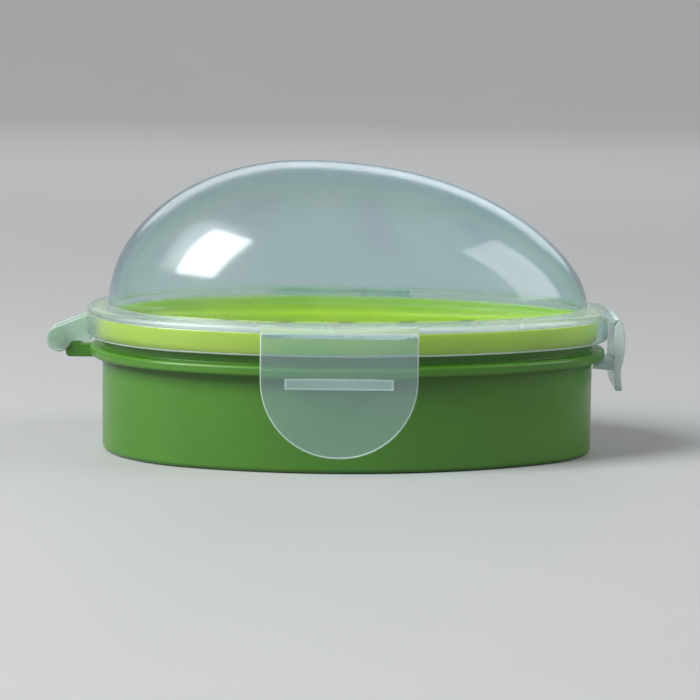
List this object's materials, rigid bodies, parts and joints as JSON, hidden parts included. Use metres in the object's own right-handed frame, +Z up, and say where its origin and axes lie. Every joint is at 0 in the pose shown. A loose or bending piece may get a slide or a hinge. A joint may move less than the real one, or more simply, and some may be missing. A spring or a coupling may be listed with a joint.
{
  "type": "food storage box",
  "caption": "Egg-shaped food storage box: tub with bead, lift-out drain tray and a hinged frosted dome lid held down by swing flaps that hook under the bead.",
  "frame": {"origin": "on the tub's flat resting face, below the middle of the lid's length and width", "axes": "+X along the length from the hinge to the narrow end, -Y towards the front flap, +Z up"},
  "size_m": [0.1664, 0.109, 0.0836],
  "materials": {
    "green_plastic": "moulded gloss",
    "lime_plastic": "moulded satin",
    "frosted_plastic": "translucent moulded gloss",
    "flap_plastic": "translucent moulded satin"
  },
  "bodies": {
    "base": {"base_tub": "green_plastic", "drain_tray": "lime_plastic"},
    "lid": {"dome_lid": "frosted_plastic", "front_web": "flap_plastic", "rear_web": "flap_plastic", "end_web": "flap_plastic"},
    "front_flap": {"front_flap": "flap_plastic"},
    "rear_flap": {"rear_flap": "flap_plastic"},
    "end_flap": {"end_flap": "flap_plastic"}
  },
  "joints": [
    {"name": "lid_hinge", "type": "hinge", "parent": "base", "child": "lid", "pos_m": [-0.0832, 0, 0.0317], "axis": [0, -1, 0], "range_deg": [0, 105]},
    {"name": "front_flap_hinge", "type": "hinge", "parent": "lid", "child": "front_flap", "pos_m": [-0.0021, -0.0519, 0.0398], "axis": [-1, 0, 0], "range_deg": [0, 120], "deforming": ["front_web"]},
    {"name": "rear_flap_hinge", "type": "hinge", "parent": "lid", "child": "rear_flap", "pos_m": [-0.0021, 0.0519, 0.0398], "axis": [1, 0, 0], "range_deg": [0, 120], "deforming": ["rear_web"]},
    {"name": "end_flap_hinge", "type": "hinge", "parent": "lid", "child": "end_flap", "pos_m": [0.0769, 0, 0.0398], "axis": [0, -1, 0], "range_deg": [0, 120], "deforming": ["end_web"]}
  ]
}
